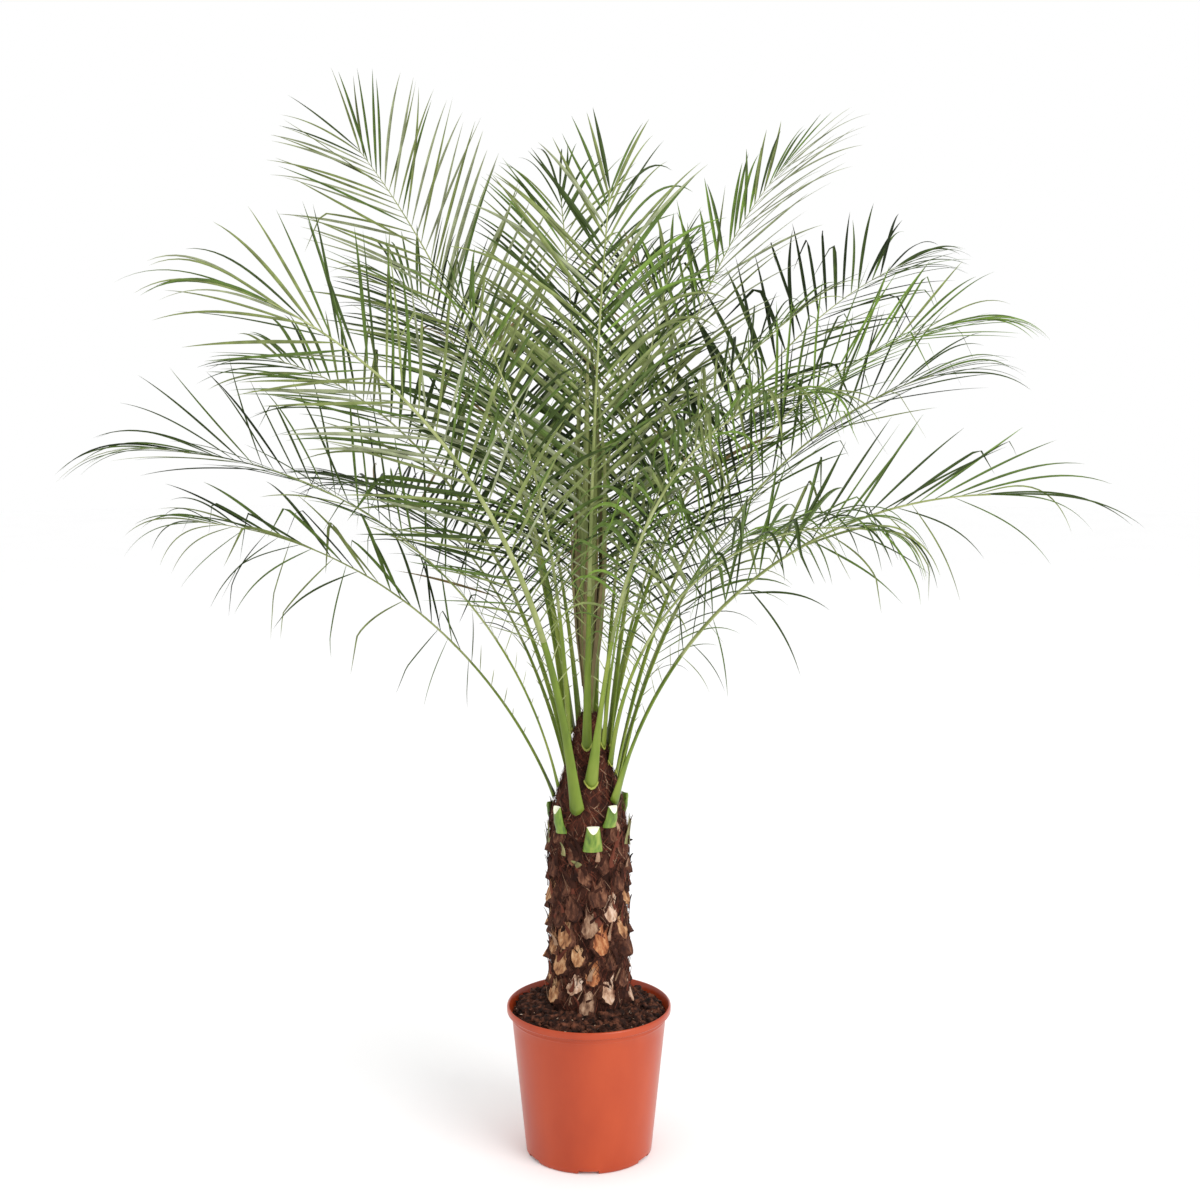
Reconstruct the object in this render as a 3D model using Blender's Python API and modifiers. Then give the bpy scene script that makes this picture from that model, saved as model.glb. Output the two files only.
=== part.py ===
"""Pygmy date palm in a plastic nursery pot: pot, soil, trunk, spear and 24 fronds.

Metres, +Z up. The origin is the centre of the pot's underside, and -Y is the side that faces the viewer.
Each frond is one leaf: a stalk that leaves the trunk, and a thin blade with the outline of its leaflets.
A frond bends round the air under it, so it is two or three pieces that meet end to end along the midrib.
"""

import math
from typing import NamedTuple

import bmesh
import bpy
import numpy as np
from mathutils import Matrix

CLEARANCE = 0.0003

POT_HEIGHT = 0.260
POT_SIDES = 40
RIM_RADIUS = 0.140
LIP_HEIGHT = 0.012
SHOULDER_RADIUS = 0.1325
FOOT_RADIUS = 0.108
FOOT_CHAMFER = 0.003
POT_WALL = 0.0025
RIM_EDGE = 0.0008
FLOOR_THICKNESS = 0.008
DRAIN_NOTCHES = 6
NOTCH_WIDTH = 0.034
NOTCH_DEPTH = 0.012
NOTCH_HEIGHT = 0.0055

SOIL_EDGE_HEIGHT = 0.244
TRUNK_FOOT = 0.262
SOIL_CROWN_RADIUS = 0.078
# Where the mound's slope eases: its share of the way out to the edge, and of the way down to it.
SOIL_BEND_OUT = 0.6
SOIL_BEND_DOWN = 0.55

# (height, radius) up the trunk: a slight flare at the foot, then a shoulder where the living leaves begin.
TRUNK_PROFILE = (
    (TRUNK_FOOT, 0.0705),
    (0.285, 0.0685),
    (0.400, 0.0680),
    (0.530, 0.0690),
    (0.575, 0.0675),
    (0.600, 0.0650),
    (0.640, 0.0540),
    (0.668, 0.0445),
    (0.719, 0.0310),
    (0.762, 0.0180),
)
TRUNK_SIDES = 20
SPEAR_SIDES = 8

# (height, radius) up the bundle of unopened leaves in the middle of the crown.
SPEAR_PROFILE = (
    (0.762 + CLEARANCE, 0.0090),
    (0.860, 0.0130),
    (0.950, 0.0175),
    (1.050, 0.0200),
    (1.180, 0.0200),
    (1.300, 0.0140),
    (1.420, 0.0040),
)

MIDRIB_STEPS = 80
STALK_SHARE = 0.27
STALK_LAP = 0.02
STALK_STEPS = 6
STALK_SIDES = 6
STALK_ROOT = 0.016
STALK_ROOT_TAPER = 0.35
# (share of the frond's length, radius) along the stalk.
STALK_TAPER = ((0.0, 0.0115), (0.05, 0.0090), (0.12, 0.0065), (0.27, 0.0045))
BLADE_THICKNESS = 0.0025
BLADE_HALF_WIDTH = 0.140
BLADE_STATIONS = 7
BLADE_JOIN = 0.0006
BLADE_SPLIT = 0.58
# Half the width at the tip: of a leaf whose last leaflets bunch forward, and of an upright one that ends in a fan.
BUNCHED_TIP = 0.012
FANNED_TIP = 0.085
FANNED_RISE = 45
FAN_ROUNDING = 0.5
FAN_ROUNDING_POWER = 6
# The outline of a blade: it swells quickly from the stalk, then draws in towards the tip.
SWELL = 1.55
SWELL_START = 0.03
SWELL_POWER = 0.45
DRAW_IN = 0.97
DRAW_IN_POWER = 0.55
# The blade's edges stand above its midrib on a steep stretch and hang a little on a level one, in degrees.
FOLD_STEEP = 20
FOLD_LEVEL = -4
SHARE_OF_GAP = 0.46


class Frond(NamedTuple):
    """Where one leaf sits on the trunk and how its midrib runs, in degrees and metres."""

    seat_turn: float  # round the trunk, from +X towards +Y
    seat_height: float  # above the pot's underside
    facing: float  # the way it leans where it leaves the trunk
    sweep: float  # how far that swings by the tip
    rise: float  # above level at the seat
    tip_rise: float  # above level at the tip
    curl: float  # 1 bends evenly, more bends late
    length: float
    roll: float  # of the blade round its midrib, from lying level
    arching: bool  # bends furthest, so its stalk is a piece of its own


FRONDS = (
    Frond(252, 0.612, 216, -10, 82, 12, 1.35, 1.19, -67, True),
    Frond(165, 0.735, 144, 0, 80, 38, 1.25, 1.27, 45, False),
    Frond(150, 0.700, 132, 0, 79, 14, 1.60, 1.10, 27, False),
    Frond(265, 0.715, 285, 10, 87, 74, 1.50, 1.02, 0, False),
    Frond(20, 0.705, 52, -8, 80, 30, 1.60, 1.25, 5, False),
    Frond(45, 0.685, 36, -6, 78, 10, 1.20, 1.27, -28, True),
    Frond(355, 0.665, 20, 0, 77, -12, 1.50, 1.24, -31, True),
    Frond(25, 0.648, 12, 0, 75, -6, 1.45, 1.13, -29, True),
    Frond(318, 0.625, 350, 0, 76, -22, 1.12, 1.09, -32, True),
    Frond(275, 0.655, 328, -6, 82, -42, 2.40, 0.99, 0, True),
    Frond(335, 0.685, 330, 0, 82, -24, 1.20, 0.80, 0, False),
    Frond(195, 0.645, 184, 0, 77, -12, 1.10, 1.07, 26, True),
    Frond(170, 0.622, 165, 0, 67, -16, 1.00, 1.06, 17, True),
    Frond(135, 0.668, 150, 0, 74, -4, 1.40, 1.12, 30, False),
    Frond(350, 0.735, 50, 0, 85, 60, 1.50, 0.92, 0, False),
    Frond(95, 0.735, 100, 0, 84, 48, 1.50, 1.12, 0, False),
    Frond(75, 0.705, 80, 0, 80, 14, 1.50, 1.15, 0, False),
    Frond(108, 0.690, 112, 0, 77, -6, 1.40, 1.15, 0, False),
    Frond(62, 0.652, 62, 0, 72, -14, 1.30, 1.08, 0, False),
    Frond(92, 0.645, 92, 0, 69, -20, 1.20, 1.10, 0, False),
    Frond(125, 0.640, 130, 0, 67, -20, 1.20, 1.02, 0, False),
    Frond(40, 0.615, 60, 0, 68, -20, 1.20, 0.86, 0, False),
    Frond(205, 0.705, 240, 0, 85, 30, 1.50, 0.96, 0, False),
    Frond(320, 0.715, 336, 0, 85, 22, 1.50, 0.95, 0, False),
)

# (base colour, roughness) of each finish.
FINISHES = {
    "pot_plastic": ((0.60, 0.12, 0.045), 0.38),
    "potting_soil": ((0.035, 0.022, 0.016), 0.95),
    "trunk_bark": ((0.10, 0.045, 0.025), 0.9),
    "spear_leaf": ((0.16, 0.12, 0.05), 0.6),
    "stalk_green": ((0.22, 0.34, 0.06), 0.5),
    "leaf_green": ((0.10, 0.16, 0.05), 0.55),
}

PARTS = bpy.data.collections.new("pygmy_date_palm")
CUTTERS = bpy.data.collections.new("cutters")


def material(name):
    """A plain Principled finish."""
    color, roughness = FINISHES[name]
    made = bpy.data.materials.new(name)
    made.use_nodes = True
    shader = made.node_tree.nodes["Principled BSDF"]
    shader.inputs["Base Color"].default_value = (*color, 1)
    shader.inputs["Roughness"].default_value = roughness
    shader.inputs["Metallic"].default_value = 0
    made.diffuse_color = (*color, 1)
    return made


def add_part(name, data, finish):
    """A named sub-part in the palm's collection."""
    part = bpy.data.objects.new(name, data)
    PARTS.objects.link(part)
    data.materials.append(finish)
    return part


def add_cutter(name, data):
    """A shape that is only taken away from others."""
    cutter = bpy.data.objects.new(name, data)
    CUTTERS.objects.link(cutter)
    cutter.hide_render = True
    cutter.display_type = "WIRE"
    return cutter


def combine(part, other, operation):
    """Cuts the other shape from the part, or joins it on."""
    boolean = part.modifiers.new(operation.lower() + "_" + other.name, "BOOLEAN")
    boolean.operation = operation
    boolean.solver = "EXACT"
    boolean.object = other


def turned(name, profile, finish):
    """A round piece turned from an (x, z) profile that runs down its outer side."""
    mesh = bpy.data.meshes.new(name)
    points = [(x, 0, z) for x, z in profile]
    edges = [(i, i + 1) for i in range(len(points) - 1)]
    mesh.from_pydata(points, edges, [])
    part = add_part(name, mesh, finish)
    screw = part.modifiers.new("turn", "SCREW")
    screw.steps = POT_SIDES
    screw.render_steps = POT_SIDES
    screw.use_merge_vertices = True
    screw.merge_threshold = 0.0001
    screw.use_smooth_shade = True
    return part


def limb_mesh(name, points, radii, sides):
    """A tapering limb through the points, as a closed mesh."""
    curve = bpy.data.curves.new(name, "CURVE")
    curve.dimensions = "3D"
    curve.bevel_depth = 1.0
    curve.bevel_resolution = (sides - 4) // 2
    curve.use_fill_caps = True
    spline = curve.splines.new("POLY")
    spline.points.add(len(points) - 1)
    for target, point, radius in zip(spline.points, points, radii):
        target.co = (*point, 1)
        target.radius = radius
    limb = bpy.data.objects.new(name, curve)
    bpy.context.scene.collection.objects.link(limb)
    graph = bpy.context.evaluated_depsgraph_get()
    mesh = bpy.data.meshes.new_from_object(limb.evaluated_get(graph))
    bpy.data.objects.remove(limb)
    bpy.data.curves.remove(curve)
    welded = bmesh.new()
    welded.from_mesh(mesh)
    bmesh.ops.remove_doubles(welded, verts=welded.verts, dist=0.00001)
    bmesh.ops.recalc_face_normals(welded, faces=welded.faces)
    welded.to_mesh(mesh)
    welded.free()
    mesh.name = name
    mesh.shade_smooth()
    mesh.set_sharp_from_angle(angle=math.radians(40))
    return mesh


def trunk_radius(height):
    """The trunk's radius at a height."""
    heights, radii = zip(*TRUNK_PROFILE)
    return float(np.interp(height, heights, radii))


def wall_radius(height):
    """The pot's outer radius at a height below the lip."""
    shoulder = POT_HEIGHT - LIP_HEIGHT
    return FOOT_RADIUS + (SHOULDER_RADIUS - FOOT_RADIUS) * height / shoulder


def add_pot():
    """A thin tapered pot with a band at the rim and drainage notches round the foot."""
    shoulder = POT_HEIGHT - LIP_HEIGHT
    edge = RIM_EDGE
    profile = (
        (0, FLOOR_THICKNESS),
        (wall_radius(FLOOR_THICKNESS) - POT_WALL, FLOOR_THICKNESS),
        (SHOULDER_RADIUS - POT_WALL, shoulder),
        (RIM_RADIUS - POT_WALL, shoulder + POT_WALL),
        (RIM_RADIUS - POT_WALL, POT_HEIGHT - edge),
        (RIM_RADIUS - POT_WALL + edge, POT_HEIGHT),
        (RIM_RADIUS - edge, POT_HEIGHT),
        (RIM_RADIUS, POT_HEIGHT - edge),
        (RIM_RADIUS - edge, shoulder),
        (wall_radius(shoulder - POT_WALL), shoulder - POT_WALL),
        (wall_radius(FOOT_CHAMFER), FOOT_CHAMFER),
        (FOOT_RADIUS - FOOT_CHAMFER, 0),
        (0, 0),
    )
    pot = turned("pot", profile, material("pot_plastic"))
    boxes = bmesh.new()
    for index in range(DRAIN_NOTCHES):
        turn = math.tau * index / DRAIN_NOTCHES - math.pi / 2
        made = bmesh.ops.create_cube(boxes, size=1)
        size = (2 * NOTCH_DEPTH, NOTCH_WIDTH, 2 * NOTCH_HEIGHT)
        bmesh.ops.scale(boxes, verts=made["verts"], vec=size)
        bmesh.ops.translate(boxes, verts=made["verts"], vec=(FOOT_RADIUS, 0, 0))
        around = Matrix.Rotation(turn, 3, "Z")
        bmesh.ops.rotate(boxes, verts=made["verts"], cent=(0, 0, 0), matrix=around)
    mesh = bpy.data.meshes.new("drain_notches")
    boxes.to_mesh(mesh)
    boxes.free()
    combine(pot, add_cutter("drain_notches", mesh), "DIFFERENCE")


def add_soil():
    """The pot's fill, mounded a little towards the trunk."""
    inset = POT_WALL + CLEARANCE
    floor = FLOOR_THICKNESS + CLEARANCE
    top = TRUNK_FOOT - CLEARANCE
    edge = wall_radius(SOIL_EDGE_HEIGHT) - inset
    bend_radius = SOIL_CROWN_RADIUS + (edge - SOIL_CROWN_RADIUS) * SOIL_BEND_OUT
    bend_height = top + (SOIL_EDGE_HEIGHT - top) * SOIL_BEND_DOWN
    profile = (
        (0, top),
        (SOIL_CROWN_RADIUS, top),
        (bend_radius, bend_height),
        (edge, SOIL_EDGE_HEIGHT),
        (wall_radius(floor) - inset, floor),
        (0, floor),
    )
    turned("soil", profile, material("potting_soil"))


def trunk_mesh(name, margin):
    """The trunk's shape, made larger all round by a margin."""
    points = [(0, 0, height) for height, _ in TRUNK_PROFILE]
    radii = [radius + margin for _, radius in TRUNK_PROFILE]
    return limb_mesh(name, points, radii, TRUNK_SIDES)


def add_trunk():
    """The trunk, and a slightly larger copy that cuts each stalk's seat."""
    add_part("trunk", trunk_mesh("trunk", 0), material("trunk_bark"))
    return add_cutter("trunk_seat", trunk_mesh("trunk_seat", CLEARANCE))


def add_spear():
    """The unopened young leaves that stand together in the middle of the crown."""
    points = [(0, 0, height) for height, _ in SPEAR_PROFILE]
    radii = [radius for _, radius in SPEAR_PROFILE]
    add_part("spear", limb_mesh("spear", points, radii, SPEAR_SIDES), material("spear_leaf"))


def midrib(frond):
    """Points along a frond's midrib, from its seat on the trunk to its tip."""
    shares = (np.arange(MIDRIB_STEPS) + 0.5) / MIDRIB_STEPS
    rise = np.radians(frond.rise + (frond.tip_rise - frond.rise) * shares**frond.curl)
    lean = np.radians(frond.facing + frond.sweep * shares**2)
    runs = np.stack((np.cos(rise) * np.cos(lean), np.cos(rise) * np.sin(lean), np.sin(rise)), axis=1)
    turn = math.radians(frond.seat_turn)
    reach = trunk_radius(frond.seat_height)
    seat = np.array((reach * math.cos(turn), reach * math.sin(turn), frond.seat_height))
    steps = np.cumsum(runs * frond.length / MIDRIB_STEPS, axis=0)
    return np.vstack((seat, seat + steps))


def at_share(line, share):
    """The point a share of the way along a line of evenly spaced points."""
    place = share * (len(line) - 1)
    whole = min(int(place), len(line) - 2)
    return line[whole] + (line[whole + 1] - line[whole]) * (place - whole)


def heading(line, share):
    """The unit direction of a line at a share of its length."""
    ahead = at_share(line, min(share + 0.01, 1)) - at_share(line, max(share - 0.01, 0))
    return ahead / np.linalg.norm(ahead)


def room(line, others, share):
    """How wide a frond may be at a share of its length and still clear every neighbour."""
    place = at_share(line, share)
    nearest = min(np.linalg.norm(other - place, axis=1).min() for other in others)
    return SHARE_OF_GAP * nearest


def stalk_radius(share):
    """The stalk's radius at a share of the frond's length."""
    shares, radii = zip(*STALK_TAPER)
    return float(np.interp(share, shares, radii))


def outline_half_width(frond, share):
    """Half the width across the leaflets at a share of the frond's length."""
    along = (share - STALK_SHARE) / (1 - STALK_SHARE)
    fan = min(max(frond.tip_rise / FANNED_RISE, 0), 1)
    rounding = 1 - FAN_ROUNDING * along**FAN_ROUNDING_POWER
    end = BUNCHED_TIP + (FANNED_TIP - BUNCHED_TIP) * fan * rounding
    swell = SWELL * (along + SWELL_START) ** SWELL_POWER
    draw_in = (1 - DRAW_IN * along) ** DRAW_IN_POWER
    return max(BLADE_HALF_WIDTH * swell * draw_in, end * along)


def stalk_mesh(name, line, others, end):
    """A petiole and the bare foot of its midrib, rooted a little way inside the trunk."""
    root = line[0] - STALK_ROOT * heading(line, 0)
    shares = [end * step / STALK_STEPS for step in range(STALK_STEPS + 1)]
    radii = [min(stalk_radius(share), room(line, others, share)) for share in shares]
    points = [root] + [at_share(line, share) for share in shares]
    return limb_mesh(name, points, [STALK_ROOT_TAPER * radii[0]] + radii, STALK_SIDES)


def add_blade(name, frond, line, others, start, end, finish):
    """A thin blade, folded along its midrib, between two shares of the frond's length."""
    inset = BLADE_JOIN / frond.length / 2
    roll = math.radians(frond.roll)
    grid = bmesh.new()
    rows = []
    for step in range(BLADE_STATIONS):
        share = start + inset + (end - start - 2 * inset) * step / (BLADE_STATIONS - 1)
        along = heading(line, share)
        side = np.cross(along, (0, 0, 1))
        side /= np.linalg.norm(side)
        over = np.cross(side, along)
        side = math.cos(roll) * side + math.sin(roll) * over
        over = np.cross(side, along)
        fold = math.radians(FOLD_LEVEL + (FOLD_STEEP - FOLD_LEVEL) * along[2])
        half = min(outline_half_width(frond, share), room(line, others, share) - BLADE_THICKNESS)
        place = at_share(line, share)
        out = half * math.cos(fold) * side
        lift = half * math.sin(fold) * over
        rows.append([grid.verts.new(point) for point in (place - out + lift, place, place + out + lift)])
    for low, high in zip(rows, rows[1:]):
        grid.faces.new((low[0], low[1], high[1], high[0]))
        grid.faces.new((low[1], low[2], high[2], high[1]))
    mesh = bpy.data.meshes.new(name)
    grid.to_mesh(mesh)
    grid.free()
    mesh.shade_smooth()
    blade = add_part(name, mesh, finish)
    thicken = blade.modifiers.new("thickness", "SOLIDIFY")
    thicken.thickness = BLADE_THICKNESS
    thicken.offset = 0
    return blade


def add_fronds(trunk_seat):
    """Every frond: its stalk cut to the trunk, then its blade out to the tip."""
    stalk_green = material("stalk_green")
    leaf_green = material("leaf_green")
    lines = [midrib(frond) for frond in FRONDS]
    spear_heights = np.linspace(SPEAR_PROFILE[0][0], SPEAR_PROFILE[-1][0], MIDRIB_STEPS)
    spear = np.array([(0, 0, height) for height in spear_heights])
    for index, (frond, line) in enumerate(zip(FRONDS, lines)):
        name = f"frond_{index + 1:02d}"
        others = [other for other in lines if other is not line] + [spear]
        if frond.arching:
            stalk = add_part(name + "_stalk", stalk_mesh(name, line, others, STALK_SHARE), stalk_green)
            combine(stalk, trunk_seat, "DIFFERENCE")
            add_blade(name + "_blade", frond, line, others, STALK_SHARE, BLADE_SPLIT, leaf_green)
        else:
            base = add_blade(name + "_base", frond, line, others, STALK_SHARE, BLADE_SPLIT, leaf_green)
            stalk = stalk_mesh(name, line, others, STALK_SHARE + STALK_LAP)
            combine(base, add_cutter(name + "_stalk", stalk), "UNION")
            combine(base, trunk_seat, "DIFFERENCE")
        add_blade(name + "_tip", frond, line, others, BLADE_SPLIT, 1, leaf_green)


def main():
    for old in list(bpy.data.objects):
        bpy.data.objects.remove(old)
    for collection in (PARTS, CUTTERS):
        bpy.context.scene.collection.children.link(collection)
    add_pot()
    add_soil()
    trunk_seat = add_trunk()
    add_spear()
    add_fronds(trunk_seat)


main()
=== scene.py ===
"""Looks of a pygmy date palm in its nursery pot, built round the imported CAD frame. Metres, +Z up."""

import math
from typing import NamedTuple

import bmesh
import bpy
import numpy as np
from mathutils import Euler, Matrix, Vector, noise


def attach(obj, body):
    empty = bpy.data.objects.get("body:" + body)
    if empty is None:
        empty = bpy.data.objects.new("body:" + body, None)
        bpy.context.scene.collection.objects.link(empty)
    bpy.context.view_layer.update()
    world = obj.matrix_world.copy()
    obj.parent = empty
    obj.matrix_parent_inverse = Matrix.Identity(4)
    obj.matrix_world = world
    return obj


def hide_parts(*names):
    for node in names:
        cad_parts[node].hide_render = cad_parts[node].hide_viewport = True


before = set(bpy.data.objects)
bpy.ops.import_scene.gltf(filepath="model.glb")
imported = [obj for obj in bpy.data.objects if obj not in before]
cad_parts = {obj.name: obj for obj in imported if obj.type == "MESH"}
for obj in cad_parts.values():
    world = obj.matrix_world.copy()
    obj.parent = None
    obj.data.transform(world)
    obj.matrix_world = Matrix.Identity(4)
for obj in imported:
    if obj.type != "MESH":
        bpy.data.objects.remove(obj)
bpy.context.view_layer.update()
scene = bpy.context.scene

UP = np.array((0.0, 0.0, 1.0))

# The camera stands in front of the plant
CAMERA_PLACE = (0.019, -3.0, 1.4)
CAMERA_TILT = 81.6
CAMERA_LENS = 54.96
CAMERA_SENSOR = 36
CAMERA_REACH = 100

# Soft lamps, each with its place, width and power. Both face a point over the trunk
LAMPS = (
    ("key", (2.2, -2.4, 2.4), 2.6, 80),
    ("fill", (-2.4, -2.0, 2.2), 2.0, 2),
)
LAMP_AIM = (0, 0, 0.9)

# The floor lies a hair under the pot, so that the two don't share a plane
FLOOR_HEIGHT = -0.0002
FLOOR_RADII = (12, 6, 2, 0.5)
FLOOR_STEP = 5

# Pot and soil, as in the CAD, but with the soil's edge raised a little by its crumbs
POT_HEIGHT = 0.26
RIM_RADIUS = 0.14
LIP_HEIGHT = 0.012
SHOULDER_RADIUS = 0.1325
FOOT_RADIUS = 0.108
POT_WALL = 0.0025
FLOOR_THICKNESS = 0.008
DRAIN_NOTCHES = 6
NOTCH_WIDTH = 0.034
NOTCH_DEPTH = 0.012
NOTCH_HEIGHT = 0.0055
SOIL_EDGE_HEIGHT = 0.247
SOIL_CROWN_RADIUS = 0.078
# Where the mound's slope eases, as shares of the way out to the edge and down to it
SOIL_BEND_OUT = 0.6
SOIL_BEND_DOWN = 0.55

# Trunk from the soil to the growing tip: height and radius
TRUNK_FOOT = 0.262
TRUNK_PROFILE = (
    (0.262, 0.0705), (0.285, 0.0685), (0.4, 0.068), (0.53, 0.069), (0.575, 0.0675),
    (0.6, 0.065), (0.64, 0.054), (0.668, 0.0445), (0.719, 0.031), (0.762, 0.018),
)

# Unopened leaves: height and half width of their bundle, and its depth as a share of its width
BUNDLE_PROFILE = (
    (0.7623, 0.008), (0.83, 0.015), (0.9, 0.025), (1.0, 0.033), (1.18, 0.033),
    (1.3, 0.02), (1.42, 0.004),
)
BUNDLE_DEPTH = 0.5

# Fronds: where the leaflets start, and how far apart they stand
MIDRIB_STEPS = 80
LEAF_START = 0.25
LEAF_SPACING = 0.0185
LEAF_STEPS = 15


class Frond(NamedTuple):
    """One frond: its midrib as in the CAD, then how its blade turns and its leaflets hang.

    Angles are in degrees. Roll turns the blade round the midrib, at its foot and at its tip. End is
    where on the midrib the rib stops. Lift raises both rows of leaflets into a V. Splay opens them, and
    skew opens one row and closes the other. Bunch lays those near the tip along the rib. Tip leaf is
    how long the last ones are against the longest. Broad scales their width, and narrow takes its share
    away towards the tip. Slack moves droop and thin moves width from one row to the other. Sag lets the
    row on the side of its sign hang lower, shorter and with gaps. Fore tone colours the row that points
    to the viewer.
    """

    seat_turn: float
    seat_height: float
    facing: float
    sweep: float
    rise: float
    tip_rise: float
    curl: float
    length: float
    tone: str = "middle"
    roll: float = 0
    roll_tip: float = 0
    end: float = 0.86
    lift: float = 18
    splay: float = 0
    droop: float = 0.35
    leaf: float = 0.235
    kinks: float = 0.12
    bunch: float = 0.3
    skew: float = 0
    spacing: float = 1.0
    slack: float = 0
    thin: float = 0
    sag: float = 0
    fore_tone: str = ""
    tip_leaf: float = 0.7
    broad: float = 1.0
    narrow: float = 0.35
    girth: float = 0.6


FRONDS = (
    Frond(252, 0.612, 216, -10, 82, 12, 1.35, 1.19, "pale", roll=-62, roll_tip=-72, droop=0.12, bunch=1,
          tip_leaf=0.95, broad=0.9, girth=0.9),
    Frond(165, 0.735, 144, 0, 80, 38, 1.25, 1.27, "grey", roll=45, roll_tip=45, end=0.87, droop=0.15,
          leaf=0.265, kinks=0.02, bunch=0, tip_leaf=0.62, broad=0.95),
    Frond(150, 0.7, 132, 0, 79, 14, 1.6, 1.1, "dark", roll=20, roll_tip=35),
    Frond(265, 0.715, 285, 10, 87, 74, 1.5, 1.02, "olive", end=0.89, lift=20, leaf=0.275, kinks=0.03,
          droop=0.6, slack=0.5, bunch=0, tip_leaf=0.42, broad=1.15),
    Frond(20, 0.705, 52, -8, 80, 30, 1.6, 1.25, "bright", end=0.91, roll=10, spacing=1.2, lift=8, skew=9,
          splay=-8, droop=0.25, bunch=0, tip_leaf=0.78, kinks=0.04, broad=0.9, thin=0.15,
          fore_tone="silver"),
    # This frond's deepest greens are partly painted shade inside the crown
    Frond(45, 0.685, 36, -6, 78, 10, 1.2, 1.27, "deep_green_and_shade", end=0.88, roll=-28, roll_tip=-28, spacing=1.2,
          broad=1.15, droop=0.2, kinks=0.35, bunch=0.7, skew=-4, thin=0.25, fore_tone="dark",
          narrow=0.6),
    Frond(355, 0.665, 20, 0, 77, -12, 1.5, 1.24, "bright", end=0.85, roll=-28, roll_tip=-34,
          spacing=1.15, lift=28, splay=-12, bunch=1, droop=0.15, kinks=0.2, broad=0.65, tip_leaf=0.85),
    Frond(25, 0.648, 12, 0, 75, -6, 1.45, 1.13, "dark", end=0.81, roll=-28, roll_tip=-30, spacing=1.15,
          lift=28, splay=-8, bunch=1, droop=0.15, kinks=0.2, broad=0.65, tip_leaf=0.8),
    Frond(318, 0.625, 350, 0, 76, -22, 1.12, 1.09, end=0.78, roll=-34, roll_tip=-30, spacing=1.25,
          lift=24, bunch=1, droop=0.75, slack=-0.9, sag=66, skew=14, kinks=0.25, broad=0.65, thin=0.25,
          tip_leaf=1.05, girth=0.75),
    Frond(275, 0.655, 328, -6, 82, -42, 2.4, 0.99, "bright", kinks=0.6, girth=0.8, end=0.84, spacing=1.1,
          droop=2.2, leaf=0.21, tip_leaf=0.6, broad=1.05),
    Frond(335, 0.685, 330, 0, 82, -24, 1.2, 0.8, spacing=1.1, kinks=0.6, droop=2.4, leaf=0.23,
          tip_leaf=0.6),
    Frond(195, 0.645, 184, 0, 77, -12, 1.1, 1.07, "dark", end=0.82, roll=24, roll_tip=28, spacing=1.05,
          lift=28, bunch=1, droop=0.2, kinks=0.1, broad=0.6, tip_leaf=0.95, girth=0.45),
    Frond(170, 0.622, 165, 0, 67, -16, 1.00, 1.06, "dark", end=0.79, roll=15, roll_tip=20, spacing=1.15,
          lift=24, bunch=1, splay=-2, droop=0.9, slack=0.6, sag=-68, skew=-22, thin=-0.25, kinks=0.6,
          broad=0.6, girth=0.45),
    Frond(135, 0.668, 150, 0, 74, -4, 1.4, 1.12, roll=25, roll_tip=35, spacing=1.15),
    Frond(350, 0.735, 50, 0, 85, 60, 1.5, 0.92, "olive", tip_leaf=0.5, girth=0.5),
    Frond(95, 0.735, 100, 0, 84, 48, 1.5, 1.12, tip_leaf=0.5, girth=0.5),
    # These fronds stand at the back of the crown, and their shade tone is painted shade
    Frond(75, 0.705, 80, 0, 80, 14, 1.5, 1.15, "shade", girth=0.5),
    Frond(108, 0.69, 112, 0, 77, -6, 1.4, 1.15, "shade", girth=0.5),
    Frond(62, 0.652, 62, 0, 72, -14, 1.3, 1.08, "shade", girth=0.45),
    Frond(92, 0.645, 92, 0, 69, -20, 1.2, 1.1, "shade", girth=0.45),
    Frond(125, 0.64, 130, 0, 67, -20, 1.2, 1.02, "shade", girth=0.45),
    Frond(40, 0.615, 60, 0, 68, -20, 1.2, 0.86, broad=0.7, droop=0.8, girth=0.4),
    Frond(205, 0.705, 240, 0, 85, 30, 1.5, 0.96, spacing=1.2, leaf=0.17, broad=0.85, girth=0.5),
    Frond(320, 0.715, 336, 0, 85, 22, 1.5, 0.95, "dark", spacing=1.2, leaf=0.17, droop=0.9, broad=0.85,
          girth=0.45),
)

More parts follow.
